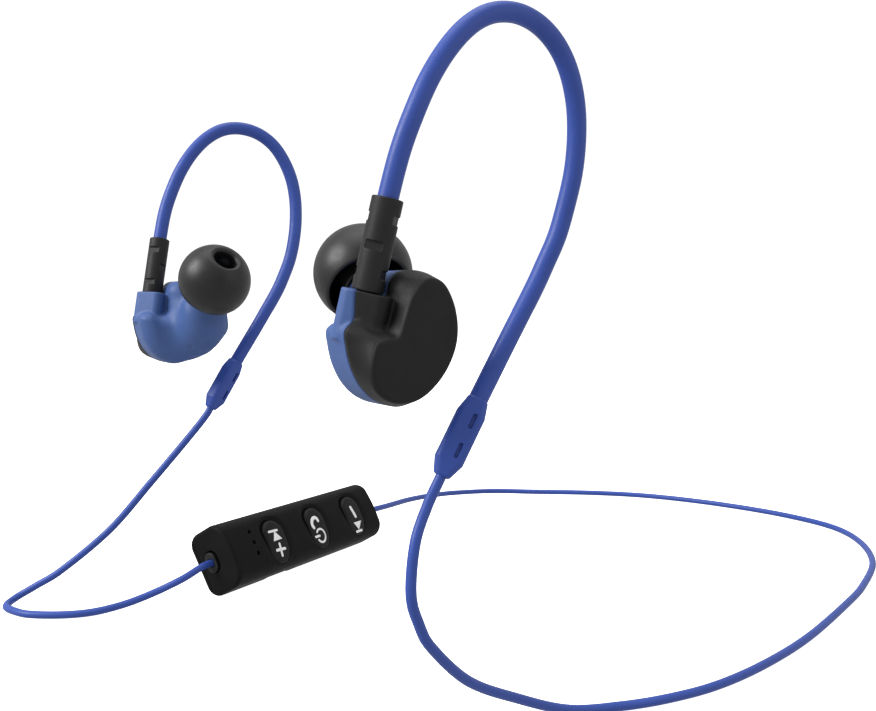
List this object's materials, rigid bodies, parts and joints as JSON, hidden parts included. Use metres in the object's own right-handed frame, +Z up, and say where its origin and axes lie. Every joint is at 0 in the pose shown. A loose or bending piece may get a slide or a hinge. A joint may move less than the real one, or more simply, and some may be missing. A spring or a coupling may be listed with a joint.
{
  "type": "neckband earphones",
  "caption": "Wireless in-ear sports earphones with flexible over-ear hooks, joined behind the neck by a thin cord with an in-line three-key remote.",
  "frame": {"origin": "midway between the ears, level with the underside of the hooks' crowns, where they rest on the ears", "axes": "+X to the back of the head, +Y from the left ear to the right ear, +Z up"},
  "size_m": [0.1927, 0.1483, 0.0943],
  "materials": {
    "black_plastic": "fine matte",
    "blue_plastic": "satin",
    "blue_rubber": "satin soft elastomer",
    "black_rubber": "matte",
    "silicone": "soft silicone",
    "button_rubber": "matte",
    "steel": "plain",
    "film": "thin film",
    "board": "solder mask",
    "cell": "foil pouch",
    "ceramic": "ceramic block"
  },
  "bodies": {
    "hooks_cord_and_remote": {"strain_relief_left": "black_rubber", "ear_hook_left": "blue_rubber", "hook_wire_left": "steel", "cord_joiner_left": "blue_rubber", "strain_relief_right": "black_rubber", "ear_hook_right": "blue_rubber", "hook_wire_right": "steel", "cord_joiner_right": "blue_rubber", "cord_left": "blue_rubber", "cord_right": "blue_rubber", "remote_front_case": "black_plastic", "remote_back_cover": "black_plastic", "cord_grommet_left": "black_rubber", "cord_grommet_right": "black_rubber", "circuit_board": "board", "battery": "cell", "radio_chip": "black_plastic", "antenna": "ceramic", "microphone": "steel", "charging_socket": "steel", "key_switch_previous": "steel", "key_switch_power": "steel", "key_switch_next": "steel"},
    "earpiece_left": {"outer_shell_left": "black_plastic", "inner_shell_left": "blue_plastic", "driver_frame_left": "steel", "driver_magnet_left": "steel", "driver_diaphragm_left": "film", "nozzle_mesh_left": "steel"},
    "tip_left": {"ear_tip_left": "silicone"},
    "earpiece_right": {"outer_shell_right": "black_plastic", "inner_shell_right": "blue_plastic", "driver_frame_right": "steel", "driver_magnet_right": "steel", "driver_diaphragm_right": "film", "nozzle_mesh_right": "steel"},
    "tip_right": {"ear_tip_right": "silicone"},
    "key_previous": {"button_previous": "button_rubber"},
    "key_power": {"button_power": "button_rubber"},
    "key_next": {"button_next": "button_rubber"}
  },
  "joints": [
    {"name": "earpiece_swivel_left", "type": "hinge", "parent": "hooks_cord_and_remote", "child": "earpiece_left", "pos_m": [-0.0191, -0.0454, -0.03225], "axis": [0.187, -0.122, 0.9748], "range_deg": [-20, 20]},
    {"name": "ear_tip_pull_left", "type": "slide", "parent": "earpiece_left", "child": "tip_left", "axis": [0.12, 0.7502, 0.6502], "range_m": [0, 0.0045]},
    {"name": "earpiece_swivel_right", "type": "hinge", "parent": "hooks_cord_and_remote", "child": "earpiece_right", "pos_m": [-0.0191, 0.0454, -0.03225], "axis": [0.187, 0.122, 0.9748], "range_deg": [-20, 20]},
    {"name": "ear_tip_pull_right", "type": "slide", "parent": "earpiece_right", "child": "tip_right", "axis": [0.12, -0.7502, 0.6502], "range_m": [0, 0.0045]},
    {"name": "press_previous", "type": "slide", "parent": "hooks_cord_and_remote", "child": "key_previous", "axis": [-0.428, 0.7529, -0.5], "range_m": [0, 0.0003], "stiffness_N_per_m": 2000, "springref_m": -0.0001},
    {"name": "press_power", "type": "slide", "parent": "hooks_cord_and_remote", "child": "key_power", "axis": [-0.428, 0.7529, -0.5], "range_m": [0, 0.0003], "stiffness_N_per_m": 2000, "springref_m": -0.0001},
    {"name": "press_next", "type": "slide", "parent": "hooks_cord_and_remote", "child": "key_next", "axis": [-0.428, 0.7529, -0.5], "range_m": [0, 0.0003], "stiffness_N_per_m": 2000, "springref_m": -0.0001}
  ]
}
